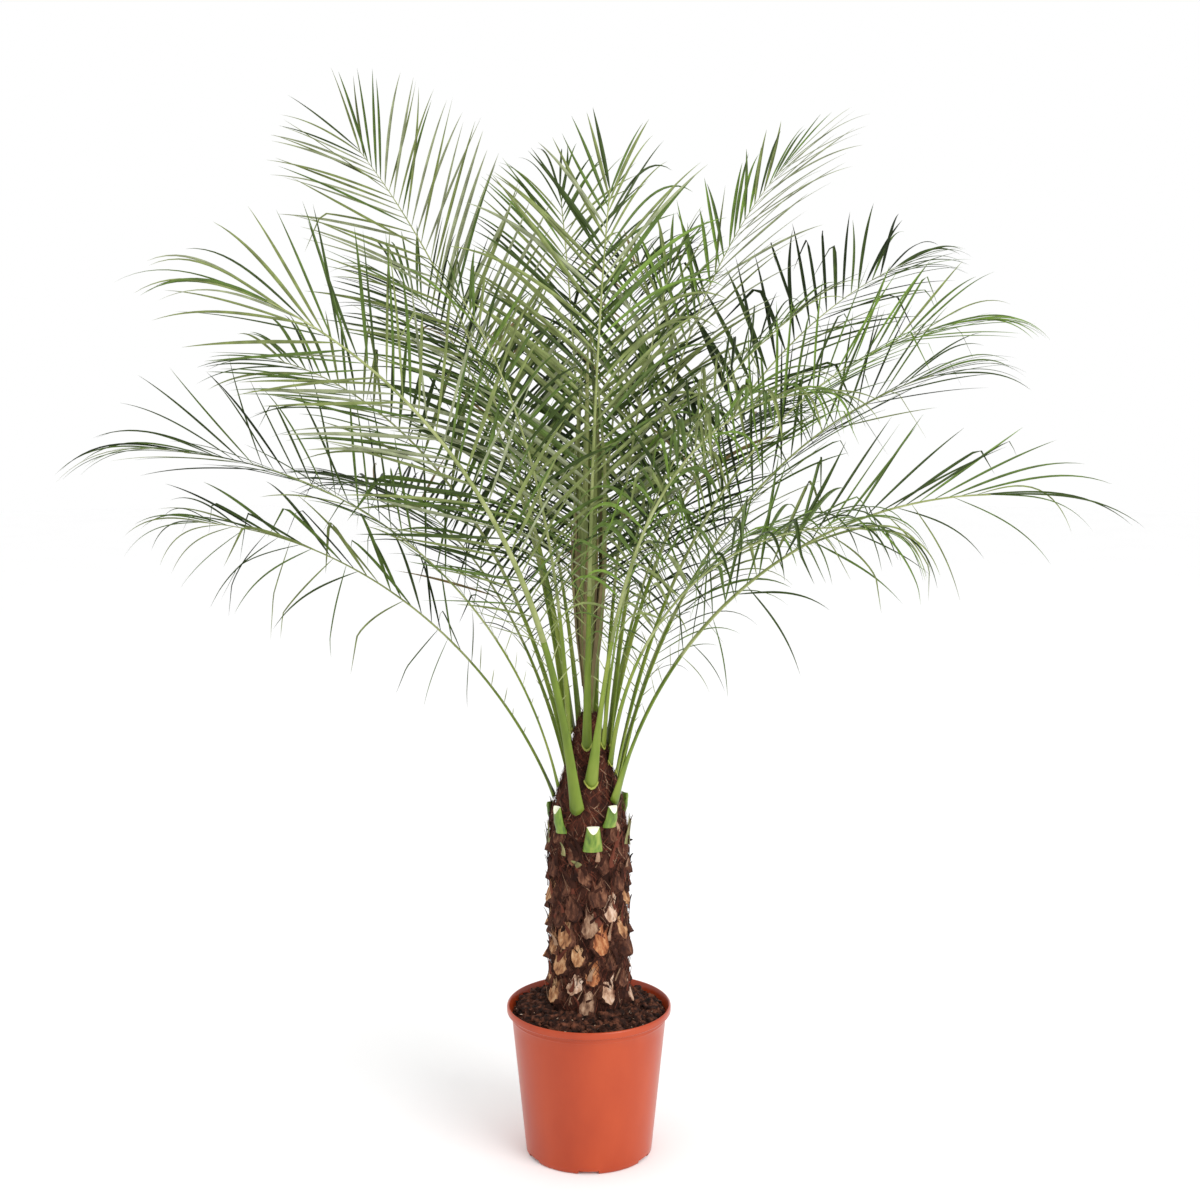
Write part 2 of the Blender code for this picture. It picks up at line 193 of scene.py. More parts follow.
# Leaf colours, in sRGB, with their range of shades, and how often each comes on a frond of each kind
LEAF_SHADES = (0.86, 1, 1.14)
LEAF_COLOURS = {
    # The deepest green is partly the leaflets' own dark green and partly painted shade, which darkens
    # fronds at the back and inside the crown
    "deep_green_and_shade": (29, 42, 12),
    "dark": (54, 70, 27),
    "green": (80, 101, 43),
    "fresh": (98, 124, 48),
    "olive": (113, 124, 72),
    "grey": (134, 141, 108),
    "dry": (120, 102, 64),
}
TONE_MIXES = {
    "pale": {"olive": 0.45, "grey": 0.2, "green": 0.25, "dark": 0.1},
    "grey": {"grey": 0.5, "olive": 0.3, "green": 0.15, "dark": 0.05},
    "olive": {"olive": 0.4, "grey": 0.22, "green": 0.22, "fresh": 0.04, "dark": 0.12},
    "silver": {"grey": 0.75, "olive": 0.25},
    "deep_green_and_shade": {"deep_green_and_shade": 0.6, "dark": 0.35, "green": 0.05},
    "dark": {"dark": 0.45, "deep_green_and_shade": 0.15, "green": 0.3, "olive": 0.1},
    # Painted shade: the fronds at the back take the darkest greens for the shade they stand in
    "shade": {"deep_green_and_shade": 0.66, "dark": 0.27, "dry": 0.07},
    "middle": {"green": 0.4, "dark": 0.32, "olive": 0.2, "fresh": 0.08},
    "bright": {"fresh": 0.4, "green": 0.35, "olive": 0.2, "dark": 0.05},
}


def linear(colour):
    """The linear base colour of an sRGB one given from 0 to 255, by the sRGB standard's formula."""
    shares = np.array(colour, float) / 255
    light = np.where(shares <= 0.04045, shares / 12.92, ((shares + 0.055) / 1.055) ** 2.4)
    return (*light.tolist(), 1.0)


class Look(NamedTuple):
    """A surface: colours along a noise ramp, grain stretch, roughness range and bump."""

    name: str
    colours: tuple
    scale: float = 60
    stretch: tuple = (1, 1, 1)
    roughness: tuple = (0.5, 0.6)
    bump: float = 0.2
    bump_scale: float = 300
    bump_depth: float = 0.001
    specular: float = 0.5


# The colours run over this span of the noise
RAMP_SPAN = (0.32, 0.68)
GRAIN_DETAIL = 6
FINE_DETAIL = 4


def add_node(tree, kind, values=()):
    """A shader node with these values at its inputs."""
    made = tree.nodes.new("ShaderNode" + kind)
    for name, value in values:
        made.inputs[name].default_value = value
    return made


def make_material(look):
    """A material whose colour, roughness and bump come from noise in object space."""
    made = bpy.data.materials.new(look.name)
    made.use_nodes = True
    tree = made.node_tree
    shader = tree.nodes["Principled BSDF"]
    shader.inputs["Specular IOR Level"].default_value = look.specular
    place = add_node(tree, "TexCoord")
    mapping = add_node(tree, "Mapping", [("Scale", look.stretch)])
    grain = add_node(tree, "TexNoise", [("Scale", look.scale), ("Detail", GRAIN_DETAIL)])
    fine = add_node(tree, "TexNoise", [("Scale", look.bump_scale), ("Detail", FINE_DETAIL)])
    gloss = add_node(tree, "MapRange", zip(("To Min", "To Max"), look.roughness))
    relief = add_node(tree, "Bump", [("Strength", look.bump), ("Distance", look.bump_depth)])
    ramp = add_node(tree, "ValToRGB")
    elements = ramp.color_ramp.elements
    while len(elements) < len(look.colours):
        elements.new(0.5)
    for element, stop, colour in zip(elements, np.linspace(*RAMP_SPAN, len(look.colours)), look.colours):
        element.position = stop
        element.color = linear(colour)
    for source, output, target, entry in (
        (place, "Object", mapping, "Vector"),
        (mapping, "Vector", grain, "Vector"),
        (mapping, "Vector", fine, "Vector"),
        (grain, "Fac", ramp, "Fac"),
        (grain, "Fac", gloss, "Value"),
        (fine, "Fac", relief, "Height"),
        (ramp, "Color", shader, "Base Color"),
        (gloss, "Result", shader, "Roughness"),
        (relief, "Normal", shader, "Normal"),
    ):
        tree.links.new(source.outputs[output], target.inputs[entry])
    return made


def add_object(name, data):
    """An object with this data, in the scene."""
    made = bpy.data.objects.new(name, data)
    scene.collection.objects.link(made)
    return made


class Sheaf:
    """Points and faces of many small things, which become one piece."""

    def __init__(self):
        self.points = []
        self.faces = []
        self.count = 0

    def lattice(self, rows, closed=False):
        """A sheet over rows of points. A closed one joins each row's last point to its first."""
        rows = np.asarray(rows, float)
        height, width = rows.shape[:2]
        numbers = self.count + np.arange(height * width).reshape(height, width)
        if closed:
            numbers = np.column_stack((numbers, numbers[:, 0]))
        corners = (numbers[:-1, :-1], numbers[:-1, 1:], numbers[1:, 1:], numbers[1:, :-1])
        self.faces.extend(np.stack(corners, axis=-1).reshape(-1, 4).tolist())
        self.points.append(rows.reshape(-1, 3))
        self.count += height * width
        return numbers

    def fan(self, ring, centre):
        """A ring of point numbers, closed by triangles to a centre point."""
        self.points.append(np.asarray(centre, float).reshape(1, 3))
        for first, second in zip(ring[:-1], ring[1:]):
            self.faces.append([int(first), int(second), self.count])
        self.count += 1

    def tube(self, rings, start=None, end=None):
        """A closed tube over rings of points, with its ends brought to the points start and end."""
        rings = np.asarray(rings, float)
        numbers = self.lattice(rings, closed=True)
        self.fan(numbers[0][::-1], rings[0].mean(0) if start is None else start)
        self.fan(numbers[-1], rings[-1].mean(0) if end is None else end)

    def solid(self, points, faces):
        """Any small solid."""
        self.faces.extend([[self.count + i for i in face] for face in faces])
        self.points.append(np.asarray(points, float))
        self.count += len(points)

    def mesh(self, name, material):
        """One mesh of everything in the sheaf."""
        mesh = bpy.data.meshes.new(name)
        mesh.from_pydata(np.vstack(self.points).tolist(), [], self.faces)
        mesh.materials.append(material)
        return mesh

    def piece(self, name, material, slot, nodes=(), smooth=True, closed=True):
        """The piece, riding on the plant's only body."""
        mesh = self.mesh(name, material)
        if closed:
            work = bmesh.new()
            work.from_mesh(mesh)
            bmesh.ops.recalc_face_normals(work, faces=work.faces)
            work.to_mesh(mesh)
            work.free()
        mesh.polygons.foreach_set("use_smooth", [smooth] * len(mesh.polygons))
        made = add_object(name, mesh)
        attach(made, "root")
        if nodes:
            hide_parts(*nodes)
        return made


def unit(vectors):
    """Each vector at a length of 1."""
    vectors = np.asarray(vectors, float)
    return vectors / np.linalg.norm(vectors, axis=-1, keepdims=True)


def value_at(table, share):
    """A value read off a table of places and values."""
    places, values = zip(*table)
    return float(np.interp(share, places, values))


def trunk_radius(height):
    """The trunk's radius at a height, as in the CAD."""
    return value_at(TRUNK_PROFILE, height)


def wall_radius(height):
    """Outer radius of the pot's wall, which tapers evenly from shoulder to foot."""
    share = height / (POT_HEIGHT - LIP_HEIGHT)
    return FOOT_RADIUS + (SHOULDER_RADIUS - FOOT_RADIUS) * share


def round_point(turn, radius, height):
    """A point by its turn in degrees, its radius and its height."""
    angle = math.radians(turn)
    return np.array((radius * math.cos(angle), radius * math.sin(angle), height))


def wobble(point, scale):
    """Smooth noise from -1 to 1 at a point."""
    return noise.noise(Vector(point) * scale)


def turned(side, upper, angle):
    """Both directions, turned by an angle in radians from the first towards the second."""
    cosine = math.cos(angle)
    sine = math.sin(angle)
    return cosine * side + sine * upper, cosine * upper - sine * side


# Camera, lights and floor

FLOOR_LOOK = Look("studio_floor", ((254, 254, 254), (255, 255, 255)), scale=3, roughness=(0.7, 0.8),
                  bump=0.02, specular=0.1)


def add_camera():
    """A camera at the photograph's angle."""
    camera = add_object("camera", bpy.data.cameras.new("camera"))
    camera.location = CAMERA_PLACE
    camera.rotation_euler = (math.radians(CAMERA_TILT), 0, 0)
    camera.data.sensor_width = CAMERA_SENSOR
    camera.data.lens = CAMERA_LENS
    camera.data.clip_end = CAMERA_REACH
    scene.camera = camera
    scene.view_settings.view_transform = "Standard"


def add_lights():
    """Even white light from all round, and two soft lamps in front."""
    world = bpy.data.worlds.new("studio")
    world.use_nodes = True
    inputs = world.node_tree.nodes["Background"].inputs
    inputs["Color"].default_value = (1, 1, 1, 1)
    inputs["Strength"].default_value = 1.0
    scene.world = world
    for name, place, size, power in LAMPS:
        lamp = add_object(name, bpy.data.lights.new(name, "AREA"))
        lamp.data.shape = "DISK"
        lamp.data.size = size
        lamp.data.energy = power
        lamp.location = place
        aim = Vector(LAMP_AIM) - Vector(place)
        lamp.rotation_euler = aim.to_track_quat("-Z", "Y").to_euler()


def add_floor():
    """A plain pale floor."""
    turns = range(0, 360, FLOOR_STEP)
    rings = [[round_point(turn, radius, FLOOR_HEIGHT) for turn in turns] for radius in FLOOR_RADII]
    sheaf = Sheaf()
    numbers = sheaf.lattice(rings, closed=True)
    sheaf.fan(numbers[-1], (0, 0, FLOOR_HEIGHT))
    add_object("floor", sheaf.mesh("floor", make_material(FLOOR_LOOK)))


# Pot and soil

POT_SEGMENTS = 180
SHARP_ANGLE = 40
POT_LOOK = Look("pot_plastic", ((160, 55, 20), (171, 63, 26), (180, 70, 31)), scale=9, stretch=(1, 1, 0.5),
                roughness=(0.24, 0.34), bump=0.05, bump_scale=260, bump_depth=0.0004, specular=0.4)
SOIL_LOOK = Look("soil_crumbs", ((16, 8, 5), (54, 30, 21), (112, 68, 49)), scale=90, roughness=(0.85, 0.98),
                 bump=0.7, bump_scale=500, bump_depth=0.002, specular=0.2)
CHIP_LOOK = Look("soil_chips", ((123, 89, 67), (173, 145, 121), (210, 193, 177)), scale=80,
                 roughness=(0.6, 0.8), bump=0.3)

# The pot's outline. Foot and rim: inset from its radius, and height over the floor or the top of the rim
FOOT_HOLLOW = 0.0012
FOOT_POINTS = ((0.022, FOOT_HOLLOW), (0.019, 0.0), (0.0032, 0.0), (0.001, 0.0008))
FOOT_EDGE = 0.0028
RIM_POINTS = ((0.0004, -0.0018), (0.0012, -0.0006), (0.0024, 0.0), (0.0034, -0.0007), (0.0042, -0.0026),
              (0.0052, -0.0045))

# Wall: its outside starts above the foot, and both sides stop below the lip
WALL_START = 0.01
WALL_DROP = 0.012
WALL_RINGS = 16
INSIDE_DROP = 0.008
INSIDE_RINGS = 8
FLOOR_CORNER = 0.002

# Bead under the lip: drop below the lip, and how far it stands out of the wall
BEAD_POINTS = ((0.0106, 0.00036), (0.009, 0.0009), (0.0074, 0.00024), (0.004, 0.0006))

# Lip, outside and inside: inset from the rim's radius, and height over the lip's foot
LIP_POINTS = ((0.0062, -0.0014), (0.0014, -0.0002), (0.0003, 0.0008), (0.0, 0.0022), (0.0, 0.0084))
INNER_LIP_POINTS = ((0.0066, 0.0045), (0.0081, 0.0008), (0.01, -0.003))


def pot_profile():
    """Radius and height, from the underside up the outside and down inside to the floor."""
    lip = POT_HEIGHT - LIP_HEIGHT
    profile = [(0.0, FOOT_HOLLOW)]
    profile += [(FOOT_RADIUS - inset, height) for inset, height in FOOT_POINTS]
    profile.append((wall_radius(FOOT_EDGE), FOOT_EDGE))
    outside = np.linspace(WALL_START, lip - WALL_DROP, WALL_RINGS)
    profile += [(wall_radius(height), height) for height in outside]
    profile += [(wall_radius(lip - drop) + out, lip - drop) for drop, out in BEAD_POINTS]
    profile += [(RIM_RADIUS - inset, lip + rise) for inset, rise in LIP_POINTS]
    profile += [(RIM_RADIUS - inset, POT_HEIGHT + rise) for inset, rise in RIM_POINTS]
    profile += [(RIM_RADIUS - inset, lip + rise) for inset, rise in INNER_LIP_POINTS]
    inside = np.linspace(lip - INSIDE_DROP, FLOOR_THICKNESS + FLOOR_CORNER, INSIDE_RINGS)
    profile += [(wall_radius(height) - POT_WALL, height) for height in inside]
    profile += [(wall_radius(0) - POT_WALL - FLOOR_CORNER, FLOOR_THICKNESS), (0.0, FLOOR_THICKNESS)]
    return profile


def notch_cutter():
    """Boxes round the foot that cut the drainage notches."""
    boxes = bmesh.new()
    for index in range(DRAIN_NOTCHES):
        made = bmesh.ops.create_cube(boxes, size=1)["verts"]
        bmesh.ops.scale(boxes, verts=made, vec=(2 * NOTCH_DEPTH, NOTCH_WIDTH, 2 * NOTCH_HEIGHT))
        bmesh.ops.translate(boxes, verts=made, vec=(FOOT_RADIUS, 0, 0))
        turn = math.tau * index / DRAIN_NOTCHES - math.pi / 2
        bmesh.ops.rotate(boxes, verts=made, cent=(0, 0, 0), matrix=Euler((0, 0, turn)).to_matrix())
    mesh = bpy.data.meshes.new("notches")
    boxes.to_mesh(mesh)
    boxes.free()
    return add_object("notches", mesh)


def add_pot():
    """The thin pot, with drainage notches cut round its foot."""
    profile = pot_profile()
    turns = np.arange(POT_SEGMENTS) * 360 / POT_SEGMENTS
    rings = [[round_point(turn, radius, height) for turn in turns] for radius, height in profile[1:-1]]
    sheaf = Sheaf()
    sheaf.tube(rings, (0, 0, profile[0][1]), (0, 0, profile[-1][1]))
    pot = sheaf.piece("pot_shell", make_material(POT_LOOK), "pot_plastic", ["pot"])
    cutter = notch_cutter()
    cut = pot.modifiers.new("notches", "BOOLEAN")
    cut.operation = "DIFFERENCE"
    cut.object = cutter
    graph = bpy.context.evaluated_depsgraph_get()
    shape = bpy.data.meshes.new_from_object(pot.evaluated_get(graph))
    pot.modifiers.clear()
    pot.data = shape
    bpy.data.objects.remove(cutter)
    shape.set_sharp_from_angle(angle=math.radians(SHARP_ANGLE))


def soil_height(radius):
    """Mean height of the soil: a mound round the trunk that falls to the wall."""
    edge = wall_radius(SOIL_EDGE_HEIGHT) - POT_WALL
    bend_radius = SOIL_CROWN_RADIUS + (edge - SOIL_CROWN_RADIUS) * SOIL_BEND_OUT
    bend_height = TRUNK_FOOT + (SOIL_EDGE_HEIGHT - TRUNK_FOOT) * SOIL_BEND_DOWN
    radii = (0, SOIL_CROWN_RADIUS, bend_radius, edge)
    return float(np.interp(radius, radii, (TRUNK_FOOT, TRUNK_FOOT, bend_height, SOIL_EDGE_HEIGHT)))


# Crumbs and chips of the soil
LUMP_SWELL = 0.55
LUMP_WOBBLE = 1.3
LUMP_TILT = 0.5
LUMP_STRETCH = (0.7, 1.3)
FINE_LUMP = 0.0035
CRUMBS = 1900
CRUMB_SIZES = (0.002, 0.0032, 0.0052, 0.0082)
CRUMB_SHARES = (0.36, 0.34, 0.22, 0.08)
CRUMBS_FROM = 0.066
CHIPS = 70
CHIP_SIZES = (0.001, 0.0018, 0.003)
CHIP_SHARES = (0.5, 0.35, 0.15)
CHIPS_FROM = 0.068
CHIPS_TO_WALL = 0.004
CHIP_RISE = 0.0022
CHIP_FLAT = 0.35

# Most chips lie in front, to the right
CHIP_TURN = -60
CHIP_TURN_SPREAD = 75

# Soil bed. Its waves are depth and scale
BED_GAP = 0.0004
BED_FROM = 0.05
BED_RINGS = 46
BED_STEP = 2
BED_DROP = 0.001
BED_DEPTH = 0.012
BED_WAVES = ((0.0034, 55), (0.0022, 170))


def lump(rng, size, flat=0.7):
    """Points and faces of one uneven crumb, about its own centre."""
    ball = bmesh.new()
    bmesh.ops.create_icosphere(ball, subdivisions=2 if size > FINE_LUMP else 1, radius=1)
    points = np.array([vertex.co for vertex in ball.verts])
    faces = [[vertex.index for vertex in face.verts] for face in ball.faces]
    ball.free()
    away = rng.uniform(-9, 9, 3)
    swell = np.array([1 + LUMP_SWELL * wobble(point + away, LUMP_WOBBLE) for point in points])
    least, most = LUMP_STRETCH
    stretch = size * rng.uniform((least, least, flat * 0.7), (most, most, flat * 1.2))
    turned = points * swell[:, None] * stretch
    angle = rng.uniform(0, math.tau)
    tilt = Euler((rng.normal(0, LUMP_TILT), rng.normal(0, LUMP_TILT), angle)).to_matrix()
    return turned @ np.array(tilt), faces


def add_soil_bed(edge, material):
    """The soil's uneven surface, down to just under its edge."""
    sheaf = Sheaf()
    rings = []
    for radius in np.linspace(edge, BED_FROM, BED_RINGS):
        ring = []
        for turn in np.arange(0, 360, BED_STEP):
            point = round_point(turn, radius, soil_height(radius))
            rough = sum(height * wobble(point, scale) for height, scale in BED_WAVES)
            ring.append(point + UP * (rough - BED_DROP))
        rings.append(ring)
    outer, inner = [[point - UP * BED_DEPTH for point in ring] for ring in (rings[0], rings[-1])]
    sheaf.lattice([inner, outer, *rings, inner], closed=True)
    sheaf.piece("soil_bed", material, "potting_soil", ["soil"])


def add_soil():
    """Dark crumbly soil: an uneven bed, loose crumbs over it and a few pale chips."""
    rng = np.random.default_rng(31)
    edge = wall_radius(SOIL_EDGE_HEIGHT) - POT_WALL - BED_GAP
    dark = make_material(SOIL_LOOK)
    add_soil_bed(edge, dark)

    crumbs = Sheaf()
    for _ in range(CRUMBS):
        size = rng.choice(CRUMB_SIZES, p=CRUMB_SHARES)
        radius = math.sqrt(rng.uniform(CRUMBS_FROM**2, (edge - size) ** 2))
        place = round_point(rng.uniform(0, 360), radius, soil_height(radius) + size * 0.15)
        points, faces = lump(rng, size)
        crumbs.solid(points + place, faces)
    crumbs.piece("soil_crumbs", dark, "potting_soil", smooth=False)

    chips = Sheaf()
    for _ in range(CHIPS):
        size = rng.choice(CHIP_SIZES, p=CHIP_SHARES)
        radius = math.sqrt(rng.uniform(CHIPS_FROM**2, (edge - CHIPS_TO_WALL) ** 2))
        turn = rng.normal(CHIP_TURN, CHIP_TURN_SPREAD)
        place = round_point(turn, radius, soil_height(radius) + CHIP_RISE)
        points, faces = lump(rng, size, CHIP_FLAT)
        chips.solid(points + place, faces)
    chips.piece("soil_chips", make_material(CHIP_LOOK), "potting_soil", smooth=False)


# Trunk

DRY = (0.7, 0.9)
MATT = (0.8, 0.95)
TRUNK_LOOK = Look("trunk_mat", ((33, 17, 11), (63, 34, 25), (97, 56, 41)), scale=70, stretch=(1, 1, 0.35),
                  roughness=MATT, bump=0.8, bump_scale=420, bump_depth=0.002, specular=0.2)
BASE_LOOK = Look("leaf_base_bark", ((45, 22, 16), (78, 45, 33), (117, 76, 56)), scale=110,
                 stretch=(1, 1, 0.4), roughness=DRY, bump=0.7, bump_scale=500, bump_depth=0.0015,
                 specular=0.25)

# Cut faces of the old leaf bases: roughness, then dark, middle and light colour
FACE_COLOURS = {
    "tan": (DRY, (82, 46, 30), (158, 112, 76), (200, 163, 124)),
    "pale": (DRY, (94, 58, 42), (180, 144, 118), (212, 188, 168)),
    "orange": (DRY, (84, 42, 25), (158, 97, 60), (198, 148, 104)),
    "grey": (MATT, (74, 46, 34), (138, 106, 84), (180, 150, 124)),
    "brown": (MATT, (46, 24, 17), (86, 52, 38), (128, 88, 66)),
}
FACE_LOOKS = {
    name: Look("cut_face_" + name, tuple(colours), scale=130, stretch=(1, 1, 0.3), roughness=roughness,
               bump=0.6, bump_scale=350, specular=0.2)
    for name, (roughness, *colours) in FACE_COLOURS.items()
}
FIBRE_LOOKS = {
    "dark": Look("fibre_dark", ((34, 17, 12), (62, 35, 26)), scale=50, roughness=MATT, specular=0.12),
    "red": Look("fibre_red", ((72, 33, 23), (112, 62, 46)), scale=50, roughness=MATT, specular=0.15),
    "pale": Look("fibre_pale", ((112, 80, 60), (166, 134, 108)), scale=50, roughness=DRY, specular=0.2),
}
STUB_LOOK = Look("fresh_stub", ((62, 90, 20), (102, 132, 38), (140, 155, 62)), scale=110,
                 stretch=(1, 1, 0.3), roughness=(0.35, 0.5), bump=0.15)
OLD_STUB_LOOK = Look("old_stub", ((74, 72, 34), (116, 114, 62), (152, 142, 98)), scale=90,
                     stretch=(1, 1, 0.4), roughness=(0.5, 0.7), bump=0.3)
STUB_TOP_LOOK = Look("fresh_cut", ((226, 226, 196), (246, 246, 228)), scale=200, roughness=(0.5, 0.7))

# The trunk's core, inside its leaf bases: insets by height, and waves as depth, scale and upward stretch
CORE_TOP = 0.766
CORE_FOOT_DROP = 0.004
CORE_RINGS = 230
CORE_STEP = 2.5
CORE_INSETS = ((0.6, 0.0085), (0.64, 0.004))
CORE_WAVES = ((0.003, 42, 1), (0.0018, 150, 0.3), (0.001, 260, 1))

# Old leaf bases, in a spiral. The highest ones aren't cut to a bare face
SPIRAL_TURN = -137.5
BASE_RISE = 0.0041
BASE_TURN_SPREAD = 2
BASE_HEIGHT_SPREAD = 0.0015
FIRST_BASE_TURN = -179.3
FIRST_BASE_HEIGHT = 0.27
LAST_BASE_HEIGHT = 0.59
LAST_CUT_HEIGHT = 0.472
FACE_SHARES = {"tan": 0.22, "pale": 0.12, "orange": 0.16, "grey": 0.18, "brown": 0.32}
BASE_WIDTHS = (0.024, 0.03)
BASE_HEIGHTS = (0.028, 0.036)
BASE_REACHES = (0.008, 0.018)
UPPER_WIDTH = 0.75
UPPER_REACH = 0.8

# Outline of a leaf base as shares of its width and height: a blunt tooth, drawn in towards its top
TOOTH = ((0.28, 0.48), (0.04, 0.56), (-0.24, 0.48), (-0.42, 0.12), (-0.5, -0.1), (-0.3, -0.38),
         (0.0, -0.5), (0.3, -0.38), (0.5, -0.1), (0.42, 0.12), (0.28, 0.48))
BASE_POINTS = 30
BASE_LEAN = 0.2
BASE_TEAR = 0.9
BASE_RAGGED = 0.06
BASE_INSET = 0.0125
BASE_FOOT = 0.004
BASE_HANG = 0.1

# From its foot to its face: share of the way out, and scale of the outline there
BASE_LEVELS = ((-0.15, 1.36), (0.25, 1.26), (0.55, 1.14), (0.8, 1.06), (1.0, 1.0))

# How far a base stands out at its middle, and how much less at its top
BASE_MIDDLE = 0.8
BASE_SLOPE = 0.42

# The cut face is dished: share of the way in from its rim, and depth there
FACE_DIPS = ((0.0, 0.0), (0.14, 0.0011), (0.5, 0.0014))
FACE_CENTRE_DIP = 0.0012
FACE_ROUGHNESS = 0.0004

# Strips torn from the leaf bases. Shares are of each colour, redder towards the top
LOW_STRIPS = 2
HIGH_STRIPS = 4
STRIP_STEPS = 6
STRIP_BEND = 5
STRIP_INSET = 0.003
STRIP_TOP = 0.76
STRIP_TAPER = 0.85

# How a strip leaves its base
STRIP_ASIDE = (5, 14)
STRIP_DROP = (-0.008, 0.01)
STRIP_HEADING = 20
STRIP_HEADING_SPREAD = 12
STRIP_LENGTHS = (0.02, 0.042)
STRIP_WIDTHS = (0.006, 0.013)
STRIP_LIFTS = (0.002, 0.009)
LOW_STRIP_SHARES = {"dark": 0.56, "pale": 0.12, "red": 0.32}
HIGH_STRIP_SHARES = {"dark": 0.5, "pale": 0.04, "red": 0.46}

# Fibres: how many, where they redden, their sizes, then mean and spread of their lift and heading
FIBRES = 5200
FIBRES_REDDEN = 0.5
FIBRE_HEIGHTS = (0.262, 0.755)
FIBRE_LENGTHS = (0.012, 0.04)
FIBRE_WIDTHS = (0.0006, 0.0018)
FIBRE_LIFT = (0.0005, 0.002)
LOW_FIBRE_HEADING = (25, 16)
HIGH_FIBRE_HEADING = (42, 16)
LOW_FIBRE_SHARES = {"dark": 0.66, "red": 0.27, "pale": 0.07}
HIGH_FIBRE_SHARES = {"dark": 0.3, "red": 0.6, "pale": 0.1}

# The cut faces that show in front, by their number up the spiral
FRONT_FACES = {15: "orange", 18: "tan", 20: "brown", 23: "tan", 28: "orange", 31: "tan", 33: "tan",
               36: "grey", 39: "brown", 41: "pale", 44: "brown"}


def surface_frame(turn):
    """Outward and sideways directions on the trunk at a turn in degrees."""
    angle = math.radians(turn)
    out = np.array((math.cos(angle), math.sin(angle), 0))
    return out, np.array((-math.sin(angle), math.cos(angle), 0))


def pick(rng, shares):
    """A name drawn by its share."""
    return rng.choice(tuple(shares), p=tuple(shares.values()))


def add_trunk_core():
    """The trunk under its leaf bases: a rough column of dark fibre."""
    rings = []
    for height in np.linspace(TRUNK_FOOT - CORE_FOOT_DROP, CORE_TOP, CORE_RINGS):
        radius = trunk_radius(height) - value_at(CORE_INSETS, height)
        ring = []
        for turn in np.arange(0, 360, CORE_STEP):
            point = round_point(turn, radius, height)
            waves = (depth * wobble(point * (1, 1, stretch), scale) for depth, scale, stretch in CORE_WAVES)
            ring.append(round_point(turn, radius + sum(waves), height))
        rings.append(ring)
    sheaf = Sheaf()
    sheaf.tube(rings)
    sheaf.piece("trunk_core", make_material(TRUNK_LOOK), "trunk_bark", ["trunk"])


def base_outline(count, width, tall):
    """Points at even steps round the outline of a leaf base."""
    corners = np.array(TOOTH)
    run = np.concatenate(((0,), np.cumsum(np.linalg.norm(np.diff(corners, axis=0), axis=1))))
    places = np.linspace(0, run[-1], count, endpoint=False)
    return np.interp(places, run, corners[:, 0]) * width, np.interp(places, run, corners[:, 1]) * tall


def add_leaf_base(body, face, turn, height, rng, width, tall, reach):
    """An old leaf base: a rough tooth that stands out from the trunk, cut off flat."""
    out, side = surface_frame(turn)
    across, rise = base_outline(BASE_POINTS, width, tall)
    lean = rng.normal(0, BASE_LEAN)
    torn = np.clip(rise / tall, 0, 0.5) * np.abs(rng.normal(0, BASE_TEAR, len(across)))
    ragged = 1 + rng.normal(0, BASE_RAGGED, len(across)) + torn
    radius = trunk_radius(height) - BASE_INSET
    rings = []
    for level, scale in BASE_LEVELS:
        grown = ragged * scale * (1 + rng.normal(0, 0.02, len(across)))
        x = (across + lean * rise) * grown
        y = rise * grown - BASE_HANG * tall * (1 - level)
        depth = BASE_FOOT + reach * level * (BASE_MIDDLE - BASE_SLOPE * rise / (tall / 2))
        ring = out * (radius + depth)[:, None] + side * x[:, None] + UP * (height + y)[:, None]
        around = x**2 / (2 * radius)
        rings.append(ring - out * around[:, None])
    body.lattice(rings, closed=True)
    rim = rings[-1]
    centre = rim.mean(0)
    rows = []
    for share, dip in FACE_DIPS:
        dips = dip + rng.normal(0, FACE_ROUGHNESS, (len(rim), 1))
        rows.append(rim + (centre - rim) * share - out * dips * (share > 0))
    numbers = face.lattice(rows, closed=True)
    face.fan(numbers[-1], centre - out * FACE_CENTRE_DIP)


def add_strip(sheaf, turn, height, heading, length, width, lift, rng):
    """A flat torn fibre that follows the trunk. Its heading is degrees from straight up."""
    rows = []
    bend = rng.normal(0, STRIP_BEND)
    for step in range(STRIP_STEPS + 1):
        share = step / STRIP_STEPS
        out, side = surface_frame(turn)
        radius = trunk_radius(min(height, STRIP_TOP)) - STRIP_INSET + lift * (0.4 + share**2)
        middle = round_point(turn, radius, height)
        angle = math.radians(heading + bend * step)
        across = side * math.cos(angle) - UP * math.sin(angle)
        half = width / 2 * (1 - STRIP_TAPER * share)
        rows.append((middle - across * half, middle + out * half * 0.5, middle + across * half))
        run = length / STRIP_STEPS
        turn += math.degrees(run * math.sin(angle) / radius)
        height += run * math.cos(angle)
    sheaf.lattice(rows)


